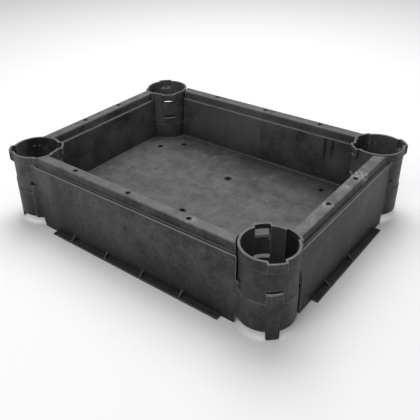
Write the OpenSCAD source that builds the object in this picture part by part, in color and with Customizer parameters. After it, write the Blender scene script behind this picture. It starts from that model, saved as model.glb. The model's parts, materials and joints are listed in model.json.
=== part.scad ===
// One tier of a modular drain inspection chamber.
// Four hollow moulded wall panels lock together at corner sleeves, round a ribbed floor plate.
// Z is up and z = 0 is the ground. X runs along the long walls, and the origin is the middle.

/* [Chamber] */
// Distance between the corner sleeve axes along the long walls
long_pitch = 610; // [520:5:900]
// Distance between the corner sleeve axes along the short walls
short_pitch = 455; // [400:5:700]
// Height of one tier, which is the height of a corner sleeve over both of its parts
tier_height = 150; // [135:1:220]

/* [Wall section] */
// Distance from the sleeve axes out to the middle plane of a wall
wall_offset = 22; // [20:0.5:24]
// Thickness of a wall over both skins
wall_thick = 42; // [40:0.5:46]
// Thickness of the moulded skins
skin = 4; // [3:0.25:5]
// Thickness of the webs that tie the two skins together
web_thick = 3.5; // [2.5:0.25:5]
// Aimed distance between the webs
web_pitch = 70; // [55:1:90]
// Radius along the shoulders of a wall
shoulder_round = 2; // [1:0.25:4]

/* [Tongue and skirt] */
// Width of the tongue along the top of a wall
tongue_width = 27; // [24:0.5:29]
// Height of the tongue above the shoulders, and depth of the skirt that covers the next one
tongue_height = 20; // [17:0.5:24]
// Radius along the top edges of the tongue
tongue_round = 5; // [3:0.25:6]
// Drop of the tongue's crest below the sleeve's rim
tongue_drop = 1; // [0.5:0.25:2]
// Play on each side of a tongue in the skirt above it
tongue_play = 0.75; // [0.5:0.25:1.5]
// Distance from the left sleeve's axis to the start of the skirt
skirt_left = 45.5; // [43:0.5:52]
// Lean of that end of the skirt towards its foot
left_lean = 4.5; // [0:0.5:6]
// Distance from the end of the skirt to the right sleeve's axis
skirt_right = 38; // [36:0.5:50]
// Lean of that end towards its foot
right_lean = 1.5; // [0:0.5:4]
// Diameter of the holes through the crest of the tongue
crest_hole = 7; // [4:0.5:9]
// Distance between the holes of a long wall
long_hole_pitch = 150; // [120:1:170]
// Distance between the holes of a short wall
short_hole_pitch = 116; // [90:1:130]

/* [Ground flange] */
// Width of the flange outside a wall
flange_width = 13.5; // [8:0.5:25]
// Thickness of the flange
flange_thick = 3.5; // [2.5:0.25:6]
// Length of the flange on a long wall
long_flange = 452; // [380:1:470]
// Length of the flange on a short wall
short_flange = 292; // [240:1:310]
// Distance from the end of the flange to the right sleeve's axis
flange_right = 68; // [60:1:90]
// Height of the gussets that brace the flange
gusset_height = 11; // [7:0.5:20]
// Thickness of a gusset
gusset_thick = 3; // [2:0.25:5]
// Distance from the left sleeve's axis to the first gusset
gusset_start = 148; // [120:1:170]
// Distance between gussets
gusset_pitch = 101; // [70:1:104]

/* [Corner sleeves] */
// Inside diameter of a sleeve
bore = 99; // [94:0.5:101]
// Outside diameter of the lower sleeve, its tabs and its feet
sleeve_diameter = 110; // [109:0.5:112]
// Outside diameter of the collar
collar_diameter = 108; // [107.5:0.5:109]
// Outside diameter of the upper sleeve below its collar
neck_diameter = 107; // [105:0.5:107]
// Height of the collar round the rim
collar_height = 20.5; // [20:0.5:26]
// Height of the lower sleeve
lower_height = 63.5; // [50:0.5:70]
// Chamfer round the top of the lower sleeve
edge_chamfer = 2; // [0.5:0.25:3]
// Gap between the lower and the upper sleeve
seam_gap = 1.5; // [0.5:0.25:2.5]
// Gap between the end of a wall and the sleeve of its neighbour
end_gap = 2; // [1.5:0.25:3]
// Radius that blends a sleeve into the outside of its wall
root_fillet = 18; // [10:1:24]
// Depth of the groove down the bore where the wall meets the sleeve
groove_depth = 4.5; // [3:0.25:5]
// Thickness of the cheek that wraps round the neighbour's lower sleeve
cheek_thick = 3.5; // [2.5:0.25:5]
// Height of the cheek
cheek_height = 82.5; // [70:0.5:82.5]
// Width of the slit between the cheek and the upper sleeve
slit_width = 2; // [1:0.25:3]
// Height of the ear that closes the gap beside the neighbour's upper sleeve
ear_height = 15.5; // [8:0.5:18]
// Gap between the ear and that sleeve
ear_gap = 0.5; // [0.3:0.1:1.5]

/* [Tabs, feet and pockets] */
// Width of the tabs that stand up from a lower sleeve
tab_width = 30; // [27:0.5:33]
// Height of those tabs
tab_height = 17.5; // [12:0.5:20]
// Headroom above a tab in its notch
notch_headroom = 8; // [4:0.5:10]
// Play on each side of a tab in its notch
tab_play = 0.5; // [0.3:0.1:0.8]
// Width of the feet that hang below a lower sleeve
foot_width = 25.5; // [20:0.5:26]
// Narrowing of a foot towards its tip, on each side
foot_taper = 1; // [0.25:0.25:3]
// Length of those feet
foot_length = 18; // [12:0.5:18.5]
// Play round a foot in the pocket of the tier below it
pocket_play = 1.5; // [0.75:0.25:2]
// Thickness of the front of a pocket
pocket_front = 4; // [2.5:0.25:5]
// Thickness of the sides of a pocket
pocket_side = 3; // [2:0.25:4]
// Depth of a pocket's sloping floor below the rim, at the bore
pocket_depth = 25; // [24.5:0.5:27]
// Depth of the channel in the bore below a pocket
channel_depth = 1; // [0.5:0.25:1.5]
// Height of the band above the window of an inner pocket
window_band = 10; // [7:0.5:12]
// Depth of the window's sill below the rim
window_depth = 21; // [20:0.5:22]
// Width of the window
window_width = 26.5; // [16:0.5:27]
// Diameter of the relief holes beside the wall roots
relief_hole = 6; // [3:0.5:8]
// Diameter of the vent hole under the inner pocket
vent_hole = 3.5; // [2:0.5:4]
// Depth of the vent hole below the rim
vent_drop = 28; // [28:0.5:34]

/* [Floor plate] */
// Height of the floor above the ground
floor_height = 44; // [34:1:60]
// Thickness of the floor and of its edge
floor_thick = 4; // [3:0.25:6]
// Gap between the floor plate and the pieces round it
floor_gap = 0.8; // [0.4:0.1:0.9]
// Width of the raised border
border_width = 11; // [6:0.5:18]
// Height of the raised border
border_height = 1.5; // [0.5:0.25:4]
// Thickness of the ribs under the floor
rib_thick = 3; // [2:0.25:5]
// Distance between the ribs
rib_pitch = 66; // [58:1:69]
// Diameter of the drain holes at the corners
corner_drain = 8; // [4:0.5:10]
// Distance of the corner drains from a sleeve's axis
drain_reach = 113; // [108:1:118]
// Angle of the corner drains either side of the corner's diagonal
drain_angle = 16.5; // [14:0.5:19]
// Diameter of the two drain holes on the long centre line
middle_drain = 9; // [5:0.5:12]
// Distance of those two from the middle
middle_reach = 89; // [86:1:92]
// Width and height of the raised ring round them
ring_width = 4; // [2:0.5:6]
ring_height = 1.5; // [0.5:0.25:3]

/* [Hidden] */
$fn = 96;
over = 1;                                   // how far a cutter runs past a face
blend_bite = 0.5;                           // how far a blend runs into its sleeve

// Heights above the ground
sleeve_base = tongue_height;                // the skirt hangs this far below the sleeves
rim = sleeve_base + tier_height;
shoulder = rim - tongue_height;
crest = rim - tongue_drop;
lower_top = sleeve_base + lower_height;
upper_base = lower_top + seam_gap;
tab_top = lower_top + tab_height;
notch_top = tab_top + notch_headroom;
relief_level = notch_top - relief_hole / 2;
cheek_top = sleeve_base + cheek_height;
ear_top = lower_top + ear_height;
collar_base = rim - collar_height;
pocket_floor = rim - pocket_depth;
window_sill = rim - window_depth;
window_top = rim - window_band;

// Radii of the sleeves and their pockets
bore_r = bore / 2;
sleeve_r = sleeve_diameter / 2;
collar_r = collar_diameter / 2;
neck_r = neck_diameter / 2;
clear_r = sleeve_r + end_gap;               // round a neighbour's sleeve
cheek_r = clear_r + cheek_thick;
groove_r = bore_r + groove_depth;
channel_r = bore_r + channel_depth;
pocket_r = sleeve_r + pocket_play;
pocket_outer = pocket_r + pocket_front;
pocket_width = foot_width + 2 * pocket_play;
pocket_block = pocket_width + 2 * pocket_side;

// Faces of a wall, measured outwards from the plane of the sleeve axes
outer_face = wall_offset + wall_thick / 2;
inner_face = wall_offset - wall_thick / 2;
shell_margin = clear_r + skin;              // where the hollow starts, from a sleeve's axis

// Directions round a sleeve, where 0 runs along the wall from its left end
inward_angle = 45;
outward_angle = 225;
quarter_turn = 90;                          // from a wall to its neighbour
relief_angle = 76;                          // relief holes, either side of outward
vent_angle = 14.5;                          // vent hole, from inward
groove_angles = [-43, -4];
groove_lip = 4;                             // how far the bulge of the collar runs past the groove
slit_angle = outward_angle + relief_angle;
cheek_angles = [slit_angle, 320];           // the second lies inside the wall
ear_angles = [215, 240];                    // about the right end's axis

plastic = "#3a3b3d";
floor_plastic = "#4a4b4d";

// ---- Profiles, drawn with x across the wall and y up ----

// A block with its two top edges rounded
module rounded_top(width, height, radius) {
    translate([-width / 2, 0])
        square([width, height - radius]);
    translate([radius - width / 2, 0])
        square([width - 2 * radius, height]);
    for (side = [-1, 1])
        translate([side * (width / 2 - radius), height - radius])
            circle(r = radius, $fn = 32);
}

// Runs a profile along a wall from one distance to another, centred on the wall's thickness
module along_wall(from, to) {
    translate([from, -wall_offset, 0])
        rotate([90, 0, 90])
            linear_extrude(to - from)
                children();
}

// ---- Sleeves, each about its own axis ----

module ring(inner_r, outer_r, from, to) {
    translate([0, 0, from])
        difference() {
            cylinder(r = outer_r, h = to - from);
            translate([0, 0, -over])
                cylinder(r = inner_r, h = to - from + 2 * over);
        }
}

// A straight-sided block that points away from the axis
module strip(angle, width, near, far, from, to) {
    rotate(angle)
        translate([near, -width / 2, from])
            cube([far - near, width, to - from]);
}

// The part of a ring that lies in a straight-sided strip in one direction
module ring_strip(angle, width, inner_r, outer_r, from, to) {
    intersection() {
        ring(inner_r, outer_r, from, to);
        strip(angle, width, 0, outer_r + over, from - over, to + over);
    }
}

// The part of a ring between two directions, which lie less than a third of a turn apart
module ring_sector(angles, inner_r, outer_r, from, to) {
    reach = 2 * outer_r + over;
    intersection() {
        ring(inner_r, outer_r, from, to);
        translate([0, 0, from - over])
            linear_extrude(to - from + 2 * over)
                polygon([[0, 0],
                         reach * [cos(angles[0]), sin(angles[0])],
                         reach * [cos(angles[1]), sin(angles[1])]]);
    }
}

// A round hole through a sleeve's wall
module radial_hole(angle, level, diameter) {
    rotate(angle)
        translate([bore_r - 3 * over, 0, level])
            rotate([0, 90, 0])
                cylinder(d = diameter, h = pocket_outer - bore_r + 4 * over, $fn = 32);
}

// A pocket's block, which slopes out from the neck at 45 degrees below
module pocket_solid(angle) {
    intersection() {
        rotate_extrude()
            polygon([
                [bore_r - over, pocket_floor],
                [neck_r, pocket_floor],
                [pocket_outer, pocket_floor + pocket_outer - neck_r],
                [pocket_outer, rim],
                [bore_r - over, rim]
            ]);
        strip(angle, pocket_block, 0, pocket_outer + over, pocket_floor - over, rim + over);
    }
}

// Space for a foot of the tier above, and the channel that runs on below it to the notch.
// The floor slopes as the block does, so its wall keeps one thickness.
module pocket_recess(angle) {
    intersection() {
        rotate_extrude()
            polygon([
                [bore_r - over, rim + over],
                [pocket_r, rim + over],
                [pocket_r, pocket_floor + pocket_r - bore_r],
                [channel_r, pocket_floor + channel_r - bore_r],
                [channel_r, notch_top - over],
                [bore_r - over, notch_top - over]
            ]);
        strip(angle, pocket_width, 0, pocket_r + over, notch_top - 2 * over, rim + 2 * over);
    }
}

// A foot, which takes the tier's weight and finds the pocket of the tier below
module foot(angle) {
    half = foot_width / 2;
    intersection() {
        ring(bore_r, sleeve_r, sleeve_base - foot_length, sleeve_base + over);
        rotate(angle)
            rotate([90, 0, 90])
                linear_extrude(sleeve_r + over)
                    polygon([
                        [foot_taper - half, sleeve_base - foot_length - over],
                        [half - foot_taper, sleeve_base - foot_length - over],
                        [half, sleeve_base + 2 * over],
                        [-half, sleeve_base + 2 * over]
                    ]);
    }
}

module upper_sleeve_solid() {
    translate([0, 0, upper_base])
        cylinder(r = neck_r, h = rim - upper_base);
    translate([0, 0, collar_base])
        cylinder(r = collar_r, h = collar_height);
    for (angle = [inward_angle, outward_angle])
        pocket_solid(angle);
    // the collar bulges round the groove where the tongue meets it
    ring_sector([groove_angles[0] - groove_lip, groove_angles[1] + groove_lip],
                bore_r, groove_r + skin, collar_base, rim);
}

module upper_sleeve_cuts() {
    translate([0, 0, upper_base - over])
        cylinder(r = bore_r, h = rim - upper_base + 2 * over);
    for (angle = [inward_angle, outward_angle]) {
        pocket_recess(angle);
        strip(angle, tab_width + 2 * tab_play, 0, sleeve_r + over, upper_base - over, notch_top);
    }
    strip(inward_angle, window_width, bore_r - over, pocket_outer + over, window_sill, window_top);
    ring_sector(groove_angles, bore_r - over, groove_r, upper_base - over, rim + over);
    for (side = [-1, 1])
        radial_hole(outward_angle + side * relief_angle, relief_level, relief_hole);
    radial_hole(inward_angle - vent_angle, rim - vent_drop, vent_hole);
    strip(slit_angle, slit_width, bore_r - over, cheek_r + over, upper_base - over, relief_level);
}

module lower_sleeve_solid() {
    rotate_extrude()
        polygon([
            [0, sleeve_base],
            [sleeve_r, sleeve_base],
            [sleeve_r, lower_top - edge_chamfer],
            [sleeve_r - edge_chamfer, lower_top],
            [0, lower_top]
        ]);
    for (angle = [inward_angle, outward_angle]) {
        ring_strip(angle + quarter_turn, tab_width, bore_r, sleeve_r, lower_top - 2 * edge_chamfer, tab_top);
        foot(angle + quarter_turn);
    }
}

// The wall's outer skin runs on as a cheek round the neighbour's lower sleeve
module cheek() {
    ring_sector(cheek_angles, clear_r, cheek_r, sleeve_base, cheek_top);
    ring_sector(cheek_angles, bore_r, cheek_r, upper_base, cheek_top);
}

// Concave blend between a sleeve and the outer face of its wall
module root_blend(radius, from, to, toward) {
    reach_y = outer_face + root_fillet;
    reach_r = radius + root_fillet - blend_bite;
    reach_x = toward * sqrt(pow(reach_r, 2) - pow(reach_y, 2));
    buried = (radius - 3 * blend_bite) / reach_r;
    translate([0, 0, from])
        linear_extrude(to - from)
            difference() {
                polygon([[0, -wall_offset], [reach_x, -wall_offset], [reach_x, -outer_face],
                         [buried * reach_x, -buried * reach_y]]);
                translate([reach_x, -reach_y])
                    circle(r = root_fillet);
            }
}

// ---- Walls ----

module wall_solid(length) {
    intersection() {
        along_wall(0, length)
            union() {
                rounded_top(wall_thick, shoulder, shoulder_round);
                rounded_top(tongue_width, crest, tongue_round);
            }
        translate([0, -outer_face - over, sleeve_base])
            cube([length, wall_thick + 2 * over, crest]);
    }
    // the skirt, whose ends lean in towards its foot
    translate([0, -inner_face, 0])
        rotate([90, 0, 0])
            linear_extrude(wall_thick)
                polygon([
                    [skirt_left + left_lean, 0],
                    [length - skirt_right - right_lean, 0],
                    [length - skirt_right, sleeve_base],
                    [length - skirt_right, sleeve_base + over],
                    [skirt_left, sleeve_base + over],
                    [skirt_left, sleeve_base]
                ]);
}

// The hollow between two webs, open below and reaching up into the tongue
module bay(from, to) {
    along_wall(from, to) {
        translate([skin - wall_thick / 2, -over])
            square([wall_thick - 2 * skin, shoulder - skin + over]);
        translate([skin - tongue_width / 2, 0])
            square([tongue_width - 2 * skin, crest - skin]);
    }
}

module wall_hollow(length) {
    hollow = length - 2 * shell_margin;
    bays = 2 * round((hollow / web_pitch - 1) / 2) + 1;
    step = (hollow + web_thick) / bays;
    for (i = [0 : bays - 1])
        bay(shell_margin + i * step, shell_margin + (i + 1) * step - web_thick);
    // slot for the tongue of the tier below
    along_wall(skirt_left - over, length - skirt_right + over)
        translate([-tongue_width / 2 - tongue_play, -over])
            square([tongue_width + 2 * tongue_play, sleeve_base + over]);
}

module crest_holes(length, count, pitch) {
    for (i = [0 : count - 1])
        translate([length / 2 + (i - (count - 1) / 2) * pitch, -wall_offset, crest - skin - over])
            cylinder(d = crest_hole, h = skin + 2 * over, $fn = 48);
}

module ground_flange(length, flange, gussets) {
    start = length - flange_right - flange;
    translate([start, -outer_face - flange_width, 0])
        cube([flange, flange_width + over, flange_thick]);
    for (i = [0 : gussets - 1])
        translate([gusset_start + i * gusset_pitch - gusset_thick / 2, 0, 0])
            rotate([90, 0, 90])
                linear_extrude(gusset_thick)
                    polygon([[-outer_face + over, 0], [-outer_face - flange_width + over, 0],
                             [-outer_face - flange_width + over, flange_thick],
                             [-outer_face, flange_thick + gusset_height],
                             [-outer_face + over, flange_thick + gusset_height]]);
}

// The room a wall leaves at its left end for the neighbour's lower sleeve, and for the collar of
// the tier below
module left_end_room() {
    translate([0, 0, -over])
        cylinder(r = clear_r, h = upper_base + over);
    translate([0, 0, -over])
        cylinder(r = groove_r + skin + end_gap, h = sleeve_base + over);
}

// The room at its right end for the neighbour's upper sleeve, less the ear beside that sleeve
module right_end_room() {
    keys = [inward_angle + quarter_turn, outward_angle + quarter_turn];
    difference() {
        union() {
            translate([0, 0, -over])
                cylinder(r = bore_r, h = rim + over);
            translate([0, 0, lower_top])
                cylinder(r = clear_r, h = rim);
            translate([0, 0, -over])
                cylinder(r = clear_r, h = sleeve_base + over);
        }
        for (angle = keys) {
            ring_strip(angle, tab_width, bore_r, sleeve_r, lower_top - over, tab_top);
            ring_strip(angle, tab_width, bore_r, sleeve_r, 0, sleeve_base + over);
        }
        ring_sector(ear_angles, neck_r + ear_gap, clear_r + over, lower_top - over, ear_top);
    }
}

// A wall with its upper sleeve at the origin and its lower sleeve at the far end.
// The outside of the wall faces -Y.
module wall(length, flange, gussets, holes, hole_pitch) {
    difference() {
        union() {
            difference() {
                union() {
                    wall_solid(length);
                    root_blend(neck_r, sleeve_base, shoulder - shoulder_round, 1);
                }
                left_end_room();
            }
            ground_flange(length, flange, gussets);
            upper_sleeve_solid();
            cheek();
            translate([length, 0, 0]) {
                lower_sleeve_solid();
                root_blend(sleeve_r, sleeve_base, lower_top, -1);
            }
        }
        wall_hollow(length);
        crest_holes(length, holes, hole_pitch);
        upper_sleeve_cuts();
        translate([length, 0, 0])
            right_end_room();
    }
}

module long_wall() {
    color(plastic)
        wall(long_pitch, long_flange, 4, 3, long_hole_pitch);
}

module short_wall() {
    color(plastic)
        wall(short_pitch, short_flange, 2, 2, short_hole_pitch);
}

module front_wall() {
    translate([-long_pitch / 2, -short_pitch / 2, 0])
        long_wall();
}

module right_wall() {
    translate([long_pitch / 2, -short_pitch / 2, 0])
        rotate(90)
            short_wall();
}

module back_wall() {
    rotate(180)
        front_wall();
}

module left_wall() {
    rotate(180)
        right_wall();
}

// ---- Floor plate ----

// Outline of the floor plate, drawn in from its edge by a margin
module floor_outline(margin) {
    size_x = long_pitch + 2 * (inner_face - floor_gap - margin);
    size_y = short_pitch + 2 * (inner_face - floor_gap - margin);
    difference() {
        square([size_x, size_y], center = true);
        for (x = [-1, 1], y = [-1, 1])
            translate([x * long_pitch / 2, y * short_pitch / 2])
                circle(r = sleeve_r + floor_gap + margin);
    }
}

module floor_ribs() {
    columns = floor(long_pitch / 2 / rib_pitch + 0.5);
    rows = floor(short_pitch / 2 / rib_pitch);
    for (i = [0 : columns - 1], side = [-1, 1])
        translate([side * (i + 0.5) * rib_pitch, 0])
            square([rib_thick, short_pitch], center = true);
    for (i = [-rows : rows])
        translate([0, i * rib_pitch])
            square([long_pitch, rib_thick], center = true);
}

module drain_places() {
    for (x = [-1, 1], y = [-1, 1], side = [-1, 1]) {
        angle = 45 + side * drain_angle;
        translate([x * (long_pitch / 2 - drain_reach * cos(angle)),
                   y * (short_pitch / 2 - drain_reach * sin(angle)), 0])
            children();
    }
}

module middle_places() {
    for (y = [-1, 1])
        translate([0, y * middle_reach, 0])
            children();
}

module floor_plate() {
    underside = floor_height - floor_thick;
    color(floor_plastic)
        difference() {
            union() {
                translate([0, 0, underside])
                    linear_extrude(floor_thick)
                        floor_outline(0);
                linear_extrude(floor_height + border_height)
                    difference() {
                        floor_outline(0);
                        floor_outline(floor_thick);
                    }
                translate([0, 0, floor_height - over])
                    linear_extrude(border_height + over)
                        difference() {
                            floor_outline(0);
                            floor_outline(border_width);
                        }
                linear_extrude(underside + over)
                    intersection() {
                        floor_ribs();
                        floor_outline(0);
                    }
                middle_places()
                    translate([0, 0, floor_height - over])
                        cylinder(d = middle_drain + 2 * ring_width, h = ring_height + over);
            }
            drain_places()
                translate([0, 0, underside - over])
                    cylinder(d = corner_drain, h = floor_thick + 2 * over, $fn = 48);
            middle_places()
                translate([0, 0, underside - over])
                    cylinder(d = middle_drain, h = floor_thick + ring_height + 2 * over, $fn = 48);
        }
}

front_wall();
right_wall();
back_wall();
left_wall();
floor_plate();
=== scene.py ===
# %% [markdown]
# # A drain inspection chamber tier in moulded recycled plastic
# The five solids of the part are loaded as a fixed frame, in metres, with Z up and the ground at
# z = 0. Four wall panels lock round a floor plate. Every one is a single injection moulding and
# its shape is finished, so this lesson is about the finish of the plastic, its wear, the light
# and the camera.
# %% Load the part
import bpy
import json
import math
from mathutils import Matrix, Vector

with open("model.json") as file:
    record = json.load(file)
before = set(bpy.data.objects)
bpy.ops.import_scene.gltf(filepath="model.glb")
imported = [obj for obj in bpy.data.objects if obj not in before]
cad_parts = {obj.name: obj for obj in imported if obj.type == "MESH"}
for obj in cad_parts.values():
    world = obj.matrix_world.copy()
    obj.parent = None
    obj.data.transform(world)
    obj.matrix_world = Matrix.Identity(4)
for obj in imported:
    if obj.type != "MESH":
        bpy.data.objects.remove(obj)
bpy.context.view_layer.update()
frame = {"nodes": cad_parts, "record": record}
print("nodes:", sorted(frame["nodes"]))

# %% [markdown]
# Two small helpers keep the material cells short. Colours are picked as sRGB hex values, as a
# paint chart gives them, and the shader wants linear light, so one function converts them. The
# other adds one node of any kind. An input given as a socket is linked, and any other input is
# set as a value, so a material reads from top to bottom like a recipe. Three settings come so
# often that they get a name: two sums, and a soft S-shaped blend between two limits.
# %% Helpers for materials
def linear(hex_colour):
    """An sRGB hex colour as the linear RGBA that shaders use."""
    values = [int(hex_colour[i:i + 2], 16) / 255 for i in (1, 3, 5)]
    return [v / 12.92 if v <= 0.04045 else ((v + 0.055) / 1.055) ** 2.4 for v in values] + [1.0]


def add_node(material, kind, inputs, output=0, **settings):
    """Adds a node with its settings, sets or links its inputs, and gives one of its outputs."""
    node = material.node_tree.nodes.new("ShaderNode" + kind)
    for name, value in settings.items():
        setattr(node, name, value)
    for socket, given in inputs.items():
        if isinstance(given, bpy.types.NodeSocket):
            material.node_tree.links.new(given, node.inputs[socket])
        else:
            node.inputs[socket].default_value = given
    return node.outputs[output]


multiply = {"operation": "MULTIPLY"}
multiply_add = {"operation": "MULTIPLY_ADD"}
smooth = {"interpolation_type": "SMOOTHSTEP"}
print("a mid grey is", [round(v, 3) for v in linear("#808080")])

# %% [markdown]
# The plastic is black recycled polypropylene, injection moulded. A flat black would look like
# paint. In the real thing the melt leaves cloudy patches about 60 mm across, a mottle of some
# 14 mm inside them and a grain that is really well under a millimetre, drawn here at 5 mm so that
# it shows. One noise with more detail could do it, but three mixed noises let each size have its
# own share. A ramp then turns the mix into near blacks a few steps apart.
# %% Clouds of the melt
cloud_shares = {60: 0.38, 14: 0.30, 5: 0.32}
ramp_stops = (0.42, 0.50, 0.58)


def melt_clouds(material, place, shades):
    """The cloudy blacks of recycled polypropylene, from dark to pale."""
    mix = 0.0
    for size_mm, share in cloud_shares.items():
        part = add_node(material, "TexNoise", {
            "Vector": place, "Scale": 1000 / size_mm, "Detail": 4.0, "Roughness": 0.65,
            "Distortion": 0.5})
        mix = add_node(material, "Math", {0: part, 1: share, 2: mix}, **multiply_add)
    tinted = add_node(material, "ValToRGB", {"Fac": mix})
    stops = tinted.node.color_ramp.elements
    stops.new(ramp_stops[1])
    for stop, position, shade in zip(stops, ramp_stops, shades):
        stop.position = position
        stop.color = linear(shade)
    return tinted


print("clouds in mm and their shares:", cloud_shares)

# %% [markdown]
# Most wear comes in patches. They could be painted by hand on an image, but noise needs no
# unwrapping and is as fine as wanted. A patch is noise of the right size whose middle values are
# spread out, so that it has a pale heart, a dark ground and a soft ragged border. Where a
# straight border would look ruled, the same noise makes a line wander by a few millimetres.
# %% Patches and wandering lines
def patches(material, place, size_mm, low, high, detail=5.0, rough=0.6, bent=0.0):
    """White patches about as large as the size, on black."""
    noise = add_node(material, "TexNoise", {"Vector": place, "Scale": 1000 / size_mm,
                                            "Detail": detail, "Roughness": rough,
                                            "Distortion": bent})
    return add_node(material, "MapRange", {"Value": noise, "From Min": low, "From Max": high},
                    **smooth)


def wandering(material, place, size_mm, reach, along):
    """A coordinate that wanders to and fro, by up to half the reach in metres."""
    noise = add_node(material, "TexNoise", {"Vector": place, "Scale": 1000 / size_mm,
                                            "Detail": 5.0, "Roughness": 0.6})
    centred = add_node(material, "Math", {0: noise, 1: reach, 2: -reach / 2}, **multiply_add)
    return add_node(material, "Math", {0: centred, 1: along}, operation="ADD")


print("the noise scale for patches of 100 mm is", 1000 / 100)

# %% [markdown]
# The melt also drags down the mould's faces, which leaves faint streaks that run up and down the
# walls, some 9 mm wide and 150 mm long. A Wave texture would draw them too regular, so they are
# noise squeezed along Z. On the flat floor the same marks run out from the gate in bent lines, so
# there the noise is squeezed along Y and bent.
# %% Drag and flow marks
drag_width_mm = 9


def drag_marks(material, place, stretch, bent):
    """Long marks: noise on coordinates that are squeezed along one direction."""
    squeezed = add_node(material, "Mapping", {"Vector": place, "Scale": stretch})
    return patches(material, squeezed, drag_width_mm, low=0.5, high=0.78, detail=3.0, rough=0.55,
                   bent=bent)


print("drag marks are", drag_width_mm, "mm wide")

# %% [markdown]
# Sun, rain and boots work on what faces up: the tops of the tongues, the rims and the floor are
# paler, chalky and rubbed, and their pale colour is partly painted top light, brighter where light
# falls from above. The mask is how far a face looks up, which finds those faces on any shape,
# broken by a fine-grained noise, so that the chalk isn't even.
# %% Chalk and painted top light on upward faces
chalk_patch_mm = 34
chalk_least = 0.4


def chalk(material, place):
    """White and mottled on faces that look up, black on the others."""
    normal = add_node(material, "NewGeometry", {}, "Normal")
    rise = add_node(material, "SeparateXYZ", {"Vector": normal}, "Z")
    upward = add_node(material, "MapRange", {"Value": rise, "From Min": 0.35, "From Max": 0.95},
                      **smooth)
    mottle = patches(material, place, chalk_patch_mm, low=0.34, high=0.66, detail=8.0, rough=0.78,
                     bent=0.4)
    evened = add_node(material, "Math", {0: mottle, 1: 1 - chalk_least, 2: chalk_least},
                      **multiply_add)
    return add_node(material, "Math", {0: upward, 1: evened}, **multiply)


print("chalk comes in patches of", chalk_patch_mm, "mm and is nowhere under", chalk_least)

# %% [markdown]
# Inside, a pale film is painted on the faces that look towards the middle of the chamber, the
# long walls more than the short ones: it is painted fill light. The inner faces could be picked
# one by one and given a material of their own, but then it would stop short at an edge. So the
# mask compares the way a face looks with the way out from the middle, and the outer faces get
# none.
# %% Painted fill light on the inner faces
fill_light_patch_mm = 90
fill_light_by_axis = (0.35, 1.0, 0.0)


def looks_in(material, place):
    """White on upright faces that look towards the middle of the chamber."""
    normal = add_node(material, "NewGeometry", {}, "Normal")
    outward = add_node(material, "VectorMath", {0: place, 1: fill_light_by_axis}, **multiply)
    towards = add_node(material, "VectorMath", {0: normal, 1: outward}, "Value",
                       operation="DOT_PRODUCT")
    return add_node(material, "MapRange", {"Value": towards, "From Min": -0.02,
                                           "From Max": -0.16}, **smooth)


def painted_fill_light(material, place):
    """The painted fill light, strong in some patches and weak in others."""
    uneven = patches(material, place, fill_light_patch_mm, low=0.25, high=0.7)
    return add_node(material, "Math", {0: looks_in(material, place), 1: uneven}, **multiply)


# The patches printed here are those of the painted fill light on the inner faces.
print("silt comes in patches of", fill_light_patch_mm, "mm, with shares by axis of", fill_light_by_axis)

# %% [markdown]
# Rain and handling leave broad pale clouds about 150 mm across. A noise with a soft border gives
# them, and they run on over the edges as real ones do. The melt of a long panel comes from both
# ends and meets half way along in an upright weld line. The half that filled first is a shade
# paler beside it, and away from it the two look alike. On the outer faces the weather has all but
# evened the two out.
# %% Weather clouds and weld line
weather_cloud_mm = 150
weld_half_width = 0.002
weld_reach = 0.24


def weather(material, place):
    """Broad pale clouds."""
    return patches(material, place, weather_cloud_mm, low=0.46, high=0.68, detail=6.0, rough=0.65,
                   bent=0.8)


def paler_half(material, place):
    """White on the left of a long panel's weld line, fading away from it."""
    along = add_node(material, "SeparateXYZ", {"Vector": place}, "X")
    wander = wandering(material, place, size_mm=20, reach=0.006, along=along)
    line = add_node(material, "MapRange", {"Value": wander, "From Min": weld_half_width,
                                           "From Max": -weld_half_width}, **smooth)
    beside = add_node(material, "MapRange", {"Value": wander, "From Min": -weld_reach,
                                             "From Max": -0.02}, **smooth)
    half = add_node(material, "Math", {0: line, 1: beside}, **multiply)
    sheltered = add_node(material, "Math", {0: looks_in(material, place), 1: 0.7, 2: 0.3},
                         **multiply_add)
    return add_node(material, "Math", {0: half, 1: sheltered}, **multiply)


print("weather clouds are", weather_cloud_mm, "mm across, the weld shows for", weld_reach, "m")

# %% [markdown]
# Water that ran over the ledge of a long wall left dark upright runs under it, on the inner face.
# Noise alone would put them anywhere, so each run is given by its place along the wall and by how
# far down it reaches. Its line wanders a little, and it thins out towards its foot.
# %% Water runs
ledge_height = 0.149
run_half_width = 0.006
run_fade = 0.04


def water_runs(material, place, runs):
    """White in upright runs given as (x, bottom), in metres, on faces that look in."""
    axes = add_node(material, "SeparateXYZ", {"Vector": place}).node.outputs
    wander = wandering(material, place, size_mm=30, reach=0.012, along=axes["X"])
    total = 0.0
    for x, bottom in runs:
        off = add_node(material, "Math", {0: wander, 1: x}, operation="SUBTRACT")
        off = add_node(material, "Math", {0: off}, operation="ABSOLUTE")
        narrow = add_node(material, "MapRange", {"Value": off, "From Min": run_half_width,
                                                 "From Max": 0.001}, **smooth)
        tall = add_node(material, "MapRange", {"Value": axes["Z"], "From Min": bottom,
                                               "From Max": bottom + run_fade}, **smooth)
        run = add_node(material, "Math", {0: narrow, 1: tall}, **multiply)
        total = add_node(material, "Math", {0: run, 1: total}, operation="MAXIMUM")
    below = add_node(material, "Math", {0: axes["Z"], 1: ledge_height}, operation="LESS_THAN")
    inside = add_node(material, "Math", {0: looks_in(material, place), 1: below}, **multiply)
    return add_node(material, "Math", {0: total, 1: inside}, **multiply)


print("runs start under the ledge at", ledge_height, "m and are", 2 * run_half_width, "m wide")

# %% [markdown]
# The floor is painted darker along its back edge and in its right corners, in soft-edged tongues
# that reach some 150 mm in: a painted shade, where the back wall shades the floor. The mask is the
# distance to the back, counted as less towards the right, and pushed to and fro by a noise.
# %% Painted shade along the back of the floor
back_shade_tongue_mm = 110
back_shade_slant = 0.15
back_shade_push = 0.4


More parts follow.
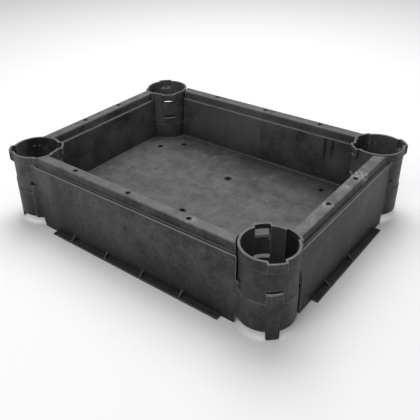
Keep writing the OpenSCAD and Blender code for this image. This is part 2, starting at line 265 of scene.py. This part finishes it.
def painted_back_shade(material, place):
    """White along the back of the floor, and more to the right, in tongues of painted shade."""
    axes = add_node(material, "SeparateXYZ", {"Vector": place}).node.outputs
    rightward = add_node(material, "Math", {0: axes["X"], 1: -0.2}, operation="MAXIMUM")
    back = add_node(material, "Math", {0: rightward, 1: back_shade_slant, 2: axes["Y"]},
                    **multiply_add)
    noise = add_node(material, "TexNoise", {"Vector": place, "Scale": 1000 / back_shade_tongue_mm,
                                            "Detail": 6.0, "Roughness": 0.62,
                                            "Distortion": 1.2})
    tongues = add_node(material, "Math", {0: noise, 1: back_shade_push, 2: back}, **multiply_add)
    return add_node(material, "MapRange", {"Value": tongues, "From Min": 0.24,
                                           "From Max": 0.42}, **smooth)


# These are the tongues of painted shade along the back of the floor.
print("damp tongues are", back_shade_tongue_mm, "mm wide")

# %% [markdown]
# No moulded edge is sharp: a radius near 1 mm, drawn here at 2 mm so that it shows, catches the
# light as a thin line and is rubbed paler in handling; its pale colour is partly painted
# highlight.
# A Bevel modifier would change the solid. The Bevel node rounds only its shading, and where its
# normal parts from the true one there is an edge. An inner corner is one too, but there painted
# shade darkens it instead, so an Ambient Occlusion node that looks 4 mm round tells the two apart.
# %% Rounded and rubbed edges with painted highlights, and painted shade in corners
edge_radius = 0.002
corner_reach = 0.004


def edges(material, rounded):
    """Two masks: edges that stand out, rubbed and with painted highlight, and corners and gaps,
    with painted shade.
    """
    true = add_node(material, "NewGeometry", {}, "True Normal")
    alike = add_node(material, "VectorMath", {0: rounded, 1: true}, "Value",
                     operation="DOT_PRODUCT")
    edge = add_node(material, "MapRange", {"Value": alike, "From Min": 0.98,
                                           "From Max": 0.75}, **smooth)
    open_air = add_node(material, "AmbientOcclusion", {"Distance": corner_reach}, "AO", samples=8)
    clear = add_node(material, "MapRange", {"Value": open_air, "From Min": 0.6,
                                            "From Max": 0.8}, **smooth)
    rubbed_edge_highlight = add_node(material, "Math", {0: edge, 1: clear}, **multiply)
    # painted shade: inner corners and gaps darkened
    corner = add_node(material, "MapRange", {"Value": open_air, "From Min": 0.7,
                                             "From Max": 0.3}, **smooth)
    return rubbed_edge_highlight, corner


# The reach printed here is how far round the painted corner shade looks.
print("edges are rounded by", edge_radius, "m, and dirt looks", corner_reach, "m round")

# %% [markdown]
# The foot of the walls is painted darker, a painted shade that fades out some 120 mm up. The mask
# is the height above the ground, which Object coordinates give as Z here, with a border that
# wanders.
# %% Painted shade at the foot
foot_shade_top = 0.125
foot_shade_full = 0.005


def painted_foot_shade(material, place):
    """White at the foot of the walls, fading upwards along a wandering line."""
    up = add_node(material, "SeparateXYZ", {"Vector": place}, "Z")
    height = wandering(material, place, size_mm=45, reach=0.03, along=up)
    return add_node(material, "MapRange", {"Value": height, "From Min": foot_shade_top,
                                           "From Max": foot_shade_full}, **smooth)


# This is where the painted shade at the foot of the walls fades out.
print("soil fades out at", foot_shade_top, "m")

# %% [markdown]
# Some marks sit at known places. Dirt rings every hole and painted shade darkens the inside of it,
# and the record gives where the holes are, so no place is measured by eye. Each mark is a soft
# ball round its place, which works on every face that the ball touches, and inside the hole too.
# %% Dirt and painted shade at the holes
def holes(pattern, reach):
    """The places of a pattern of holes in the record, with the reach of their dirt, in metres."""
    mount = next(m for m in frame["record"]["mounts"] if m["name"] == pattern)
    half_x, half_y = [mount["dims"].get("spacing_" + axis + "_mm", 0.0) / 2000 for axis in "xy"]
    return sorted({(i * half_x, j * half_y, mount["pos_m"][2], reach)
                   for i in (-1, 1) for j in (-1, 1)})


def near(material, place, spots):
    """White close to any (x, y, z, reach) spot, fading out at its reach, in metres."""
    total = 0.0
    for x, y, z, reach in spots:
        away = add_node(material, "VectorMath", {0: place, 1: (x, y, z)}, "Value",
                        operation="DISTANCE")
        ball = add_node(material, "MapRange", {"Value": away, "From Min": reach,
                                               "From Max": 0.5 * reach}, **smooth)
        total = add_node(material, "Math", {0: ball, 1: total}, operation="MAXIMUM")
    return total


wall_holes = []
for pattern in ("long_crest_outer_holes", "long_crest_middle_holes", "short_crest_holes"):
    wall_holes += holes(pattern, reach=0.008)
drains = holes("corner_drains_end", reach=0.010) + holes("corner_drains_side", reach=0.010)
drains += holes("middle_drains", reach=0.013)
print("holes in the tongues:", len(wall_holes), "drains:", len(drains))

# %% [markdown]
# Something hard scuffed the tongues round some of their fixing holes and flecked the floor. A
# scuff is a soft ball too, cut up by a 5 mm noise so that its border is ragged.
# %% Scuffed spots
scuff_grain_mm = 5


def scuffs(material, place, spots):
    """White in ragged patches round the spots."""
    ragged = patches(material, place, scuff_grain_mm, low=0.44, high=0.64, rough=0.75)
    return add_node(material, "Math", {0: near(material, place, spots), 1: ragged}, **multiply)


print("scuffs are cut up by a grain of", scuff_grain_mm, "mm")

# %% [markdown]
# Each corner sleeve also has two 6 mm relief holes, 76 degrees either side of the way out and
# 106 mm up. They are so small that their rounded edges would shine, and dirt and painted shade
# darken them too.
# %% Relief holes
bores = [mount for mount in frame["record"]["mounts"] if mount["kind"] == "bore"]
sleeve_radius = 0.0535
relief_height = 0.106
relief_reach = 0.0065
relief_turn = math.radians(76)
for mount in bores:
    x, y, _ = mount["pos_m"]
    way_out = math.atan2(math.copysign(1, y), math.copysign(1, x))
    for way in (way_out - relief_turn, way_out + relief_turn):
        wall_holes.append((x + sleeve_radius * math.cos(way), y + sleeve_radius * math.sin(way),
                           relief_height, relief_reach))
print("with the relief holes:", len(wall_holes))

# %% [markdown]
# The inside of a sleeve is painted paler, more in some sleeves than in others: painted light in
# the bores. The mask is the distance from the sleeve's axis, which the record gives with its
# radius. The Mapping node flattens the place to X and Y, so that height doesn't count.
# %% Painted light in the sleeves
bore_radius = bores[0]["dims"]["r_mm"] / 1000
sleeve_light_start = bore_radius + 0.0005
sleeve_light_end = bore_radius + 0.002


def painted_sleeve_light(material, place):
    """White on the inside of the sleeves and black outside."""
    flat = add_node(material, "Mapping", {"Vector": place, "Scale": (1.0, 1.0, 0.0)})
    total = 0.0
    for mount in bores:
        axis = (mount["pos_m"][0], mount["pos_m"][1], 0.0)
        away = add_node(material, "VectorMath", {0: flat, 1: axis}, "Value", operation="DISTANCE")
        inside = add_node(material, "MapRange", {"Value": away, "From Min": sleeve_light_end,
                                                 "From Max": sleeve_light_start}, **smooth)
        total = add_node(material, "Math", {0: inside, 1: total}, operation="MAXIMUM")
    return total


print("sleeves:", len(bores), "with a radius of", bore_radius, "m")

# %% [markdown]
# The shoulder beside each tongue is 7.5 mm wide. Its two rims are painted pale, as highlights, and
# its middle dark, as painted shade in the groove between them, so it shows as two thin pale lines
# with a dark one between. The lines are straight and lie at known places, so they are masked by
# the distance to the shoulder's middle. Each mask fades from black to white between two such
# distances, in metres.
# %% Shoulder rims, painted highlights and shade
shoulder_middles = {"X": 0.34425, "Y": 0.26675, "Z": 0.150}
shoulder_fades = {"height": (0.0025, 0.0012), "width": (0.0055, 0.0045),
                  "rims": (0.0014, 0.0022), "middle": (0.0022, 0.0012)}


def shoulder_lines(material, place):
    """The painted shade in the middle and the painted highlights on the rims of the outer
    shoulders, as two masks.
    """
    axes = add_node(material, "SeparateXYZ", {"Vector": place}).node.outputs
    gaps = {}
    for axis, middle in shoulder_middles.items():
        out = add_node(material, "Math", {0: axes[axis]}, operation="ABSOLUTE")
        gap = add_node(material, "Math", {0: out, 1: middle}, operation="SUBTRACT")
        gaps[axis] = add_node(material, "Math", {0: gap}, operation="ABSOLUTE")
    off = add_node(material, "Math", {0: gaps["X"], 1: gaps["Y"]}, operation="MINIMUM")
    masks = {}
    for part, (low, high) in shoulder_fades.items():
        source = gaps["Z"] if part == "height" else off
        masks[part] = add_node(material, "MapRange", {"Value": source, "From Min": low,
                                                      "From Max": high}, **smooth)
    on_top = add_node(material, "Math", {0: masks["height"], 1: masks["width"]}, **multiply)
    return [add_node(material, "Math", {0: on_top, 1: masks[part]}, **multiply)
            for part in ("middle", "rims")]


print("middles of the shoulders, in m from the origin:", shoulder_middles)

# %% [markdown]
# Now the layers are put on in order: weather, painted fill light and the weld line's paler half on
# the bare plastic, then water runs, painted light in the sleeves, chalk with painted top light,
# and painted shade along the floor's back and at the foot, then drag marks, painted shade and
# highlights on the shoulders, painted shade in corners, rubbed edges with painted highlights and
# scuffs, and dirt and painted shade in the holes last. Each has a mask and a shade here. Its
# strength differs from moulding to moulding, so the strengths of a usual wall stand in a table of
# their own, from 0, none, to 1, full.
# %% Layers of wear and painted light
def wear_and_light_layers(material, place, rounded, marks, runs, darkened_holes, scuffed, top_chalk_and_light_colour):
    """Every layer by name, of wear or of painted light and shade, with its mask and its shade."""
    grit, rims = shoulder_lines(material, place)
    rubbed_edge_highlight, corner = edges(material, rounded)
    return {
        "weather": (weather(material, place), "#585858"),
        # painted fill light: a pale film on the faces that look in
        "silt": (painted_fill_light(material, place), "#707070"),
        "paler_half": (paler_half(material, place), "#686868"),
        "runs": (water_runs(material, place, runs), "#262626"),
        # painted light: the inside of the sleeves paler
        "sleeves": (painted_sleeve_light(material, place), "#6a6a6a"),
        # chalk, and painted top light, pale on the upward faces
        "chalk": (chalk(material, place), top_chalk_and_light_colour),
        # painted shade: the floor darker along its back, where the back wall shades it
        "damp": (painted_back_shade(material, place), "#202021"),
        # painted shade: the foot of the walls darker
        "soil": (painted_foot_shade(material, place), "#161616"),
        "drag": (drag_marks(material, place, *marks), "#757575"),
        # painted shade in the middle of the shoulders
        "grit": (grit, "#202020"),
        # painted highlights on the rims of the shoulders
        "rims": (rims, "#7c7c7b"),
        # painted shade in inner corners and gaps
        "corners": (corner, "#161616"),
        # rubbed edges, partly painted highlight
        "edges": (rubbed_edge_highlight, "#b0b0ae"),
        "scuffs": (scuffs(material, place, scuffed), "#a5a5a3"),
        # dirt round the holes and painted shade inside them
        "holes": (near(material, place, darkened_holes), "#131313")}


# Strengths of each layer, wear and painted light and shade alike.
wall_wear_and_light = {"weather": 0.5, "silt": 0.9, "paler_half": 0.0, "runs": 1.0, "sleeves": 0.0,
             "chalk": 0.85, "damp": 0.0, "soil": 0.7, "drag": 0.08, "grit": 0.9, "rims": 0.7,
             "corners": 1.0, "edges": 0.65, "scuffs": 1.0, "holes": 1.0}
print("kinds of wear:", ", ".join(wall_wear_and_light))

# %% [markdown]
# One recipe makes the plastic of the walls and, with other shades and marks, of the floor. The
# satin comes from a roughness of 0.5 and the 1.49 index of polypropylene, and dust dulls its
# shine. A 4 mm noise, no more than 0.4 mm deep, gives the faint orange peel. Each layer of wear or
# painted light is a Mix node over the one before. That node has inputs for numbers, vectors and
# colours side by side, so its two colours are picked by number, 6 and 7, and so is its colour
# output, 2.
# %% Moulded polypropylene
peel_mm = 4
peel_depth = 0.0004
peel_strength = 0.8
roughness = 0.5
refraction = 1.49
shine = 0.3


def moulded_polypropylene(name, shades, wear_and_light, *details):
    """Satin injection-moulded plastic with its layers of wear and painted light, at the strengths
    given.
    """
    material = bpy.data.materials.new(name)
    material.use_nodes = True
    place = add_node(material, "TexCoord", {}, "Object")
    rounded = add_node(material, "Bevel", {"Radius": edge_radius}, "Normal", samples=6)
    colour = melt_clouds(material, place, shades)
    for layer, (mask, shade) in wear_and_light_layers(material, place, rounded, *details).items():
        if wear_and_light[layer] > 0:
            thin = add_node(material, "Math", {0: mask, 1: wear_and_light[layer]}, **multiply)
            colour = add_node(material, "Mix", {0: thin, 6: colour, 7: linear(shade)}, 2,
                              data_type="RGBA")
    peel = add_node(material, "TexNoise", {"Vector": place, "Scale": 1000 / peel_mm,
                                           "Detail": 3.0, "Roughness": 0.55})
    bumped = add_node(material, "Bump", {"Strength": peel_strength, "Distance": peel_depth,
                                         "Height": peel, "Normal": rounded})
    shader = material.node_tree.nodes["Principled BSDF"]
    material.node_tree.links.new(colour, shader.inputs["Base Color"])
    material.node_tree.links.new(bumped, shader.inputs["Normal"])
    shader.inputs["Roughness"].default_value = roughness
    shader.inputs["IOR"].default_value = refraction
    shader.inputs["Specular IOR Level"].default_value = shine
    print(name, "has", len(material.node_tree.nodes), "nodes")
    return material


def dress(node, material):
    """Gives a CAD node a finish in place of its plain one."""
    slots = frame["nodes"][node].data.materials
    slots.clear()
    slots.append(material)


# %% [markdown]
# The walls are the darker mouldings, with upright drag marks. Recycled plastic differs from batch
# to batch, so the four walls are a shade apart, and each has had its own weather. The right wall's
# much darker melt and its weaker weather clouds are painted shade, for its side away from the main
# light. For each wall come the dark, middle and pale shade of its melt, its own strengths of wear
# and painted light, its water runs, and its scuffs as (x, y, z, reach). One short wall's tongue is
# scuffed most.
# %% Dress the walls
upright_marks = ((1.0, 1.0, 0.06), 0.3)
wall_chalk_and_top_light = "#6c6c6c"
wall_finishes = {
    "back_wall": (("#1f1f20", "#2e2e2f", "#424243"),
                  {"silt": 0.5, "paler_half": 0.45, "chalk": 0.7},
                  [(0.178, 0.07), (0.197, 0.09)], []),
    "front_wall": (("#1e1e1f", "#2e2e2f", "#444445"), {"silt": 0.8, "paler_half": 0.5},
                   [(-0.2, 0.09)], [(0.155, -0.2495, 0.169, 0.014)]),
    "left_wall": (("#232324", "#323233", "#464647"), {"silt": 0.75, "sleeves": 0.3}, [], []),
    # painted shade: the right wall's darker melt and weaker weather clouds
    "right_wall": (("#131314", "#1f1f20", "#333334"),
                   {"weather": 0.3, "sleeves": 0.3, "grit": 0.3, "chalk": 1.0}, [],
                   [(0.327, 0.076, 0.169, 0.026), (0.324, 0.012, 0.169, 0.012),
                    (0.327, -0.062, 0.169, 0.013)])}
for wall, (shades, own_wear_and_light, runs, scuffed) in wall_finishes.items():
    dress(wall, moulded_polypropylene(
        "polypropylene_recycled_" + wall, shades, {**wall_wear_and_light, **own_wear_and_light}, upright_marks, runs,
        wall_holes, scuffed, wall_chalk_and_top_light))

# %% [markdown]
# The floor plate is paler: it lies open to the sky, and its melt shows bent flow marks. Two small
# flecks near its left corner are all that the scuffing left there.
# %% Dress the floor plate
bent_marks = ((1.0, 0.18, 1.0), 3.5)
floor_shades = ("#161617", "#2c2c2d", "#4c4c4d")
floor_chalk_and_top_light = "#656565"
# The floor takes the painted shade along its back, and its rubbed edges with painted highlights at
# full strength.
floor_wear_and_light = {**wall_wear_and_light, "silt": 0.0, "runs": 0.0, "damp": 0.75, "soil": 0.0, "drag": 0.22,
              "grit": 0.0, "rims": 0.0, "edges": 1.0}
no_runs = []
flecks = [(-0.274, -0.035, 0.044, 0.005), (-0.238, -0.012, 0.044, 0.004)]
dress("floor_plate", moulded_polypropylene(
    "polypropylene_flow_marked", floor_shades, floor_wear_and_light, bent_marks, no_runs, drains, flecks,
    floor_chalk_and_top_light))

# %% [markdown]
# The chamber stands on a plain pale floor, which is stage and not part of the object. A plane is
# enough, if it is so wide that its far edge lies low and its shade is even. Paper is matt, so its
# roughness is high.
# %% Studio floor
floor_width = 30
bpy.ops.object.select_all(action="DESELECT")
bpy.ops.mesh.primitive_plane_add(size=floor_width, location=(0, 0, 0))
ground = bpy.context.object
ground.name = "studio_floor"
paper = bpy.data.materials.new("studio_paper_matt")
paper.use_nodes = True
paper_shader = paper.node_tree.nodes["Principled BSDF"]
paper_shader.inputs["Base Color"].default_value = linear("#f6f6f6")
paper_shader.inputs["Roughness"].default_value = 0.9
ground.data.materials.append(paper)
print(ground.name, "is", floor_width, "m wide")

# %% [markdown]
# The light is that of a bright overcast yard brought into a studio: one wide panel high up and
# behind on the left, which makes upward faces shine and leaves the near walls in soft shade, a
# weak one in front, and an even pale surround. The Standard view shows each colour as picked and
# lets the pale floor reach white.
# %% Lights
def soft_panel(name, place, size, power):
    """A square panel that faces the middle of the chamber."""
    light = bpy.data.lights.new(name, "AREA")
    light.energy = power
    light.size = size
    lamp = bpy.data.objects.new(name, light)
    bpy.context.collection.objects.link(lamp)
    lamp.location = place
    lamp.rotation_euler = (-Vector(place)).to_track_quat("-Z", "Y").to_euler()
    print(name, "of", size, "m and", power, "W")


soft_panel("panel_overhead", (-0.5, 0.8, 2.2), size=1.8, power=44)
soft_panel("panel_front", (0.2, -2.0, 1.9), size=1.6, power=17)
world = bpy.data.worlds.new("pale_surround")
bpy.context.scene.world = world
world.use_nodes = True
surround = world.node_tree.nodes["Background"]
surround.inputs["Color"].default_value = linear("#ffffff")
surround.inputs["Strength"].default_value = 0.4
bpy.context.scene.view_settings.view_transform = "Standard"

# %% [markdown]
# The camera looks down at about 31 degrees on the corner between the long and the short wall. It
# could follow a target with a constraint, but four plain values say where it stands and how it
# looks: its position, its heading, its downward tilt and a slight roll. Its frame is shifted a
# little so that the chamber sits left of the middle.
# %% Camera
position = Vector((0.6898, -0.9088, 0.7359))
heading = math.radians(39.56)
tilt = math.radians(30.95)
roll = math.radians(-1.71)
ahead = Vector((-math.sin(heading) * math.cos(tilt), math.cos(heading) * math.cos(tilt),
                -math.sin(tilt)))
level = ahead.cross(Vector((0, 0, 1))).normalized()
square_up = level.cross(ahead)
right = level * math.cos(roll) + square_up * math.sin(roll)
up = square_up * math.cos(roll) - level * math.sin(roll)
lens = bpy.data.cameras.new("camera")
camera = bpy.data.objects.new("camera", lens)
bpy.context.collection.objects.link(camera)
turned = Matrix((right, up, -ahead)).transposed()
camera.matrix_world = Matrix.Translation(position) @ turned.to_4x4()
lens.sensor_width = 36
lens.lens = 48.98
lens.shift_x = 0.0576
lens.shift_y = -0.0437
lens.clip_start = 0.05
bpy.context.scene.camera = camera
print("camera at", [round(v, 3) for v in position], "with a", round(lens.lens, 2), "mm lens")
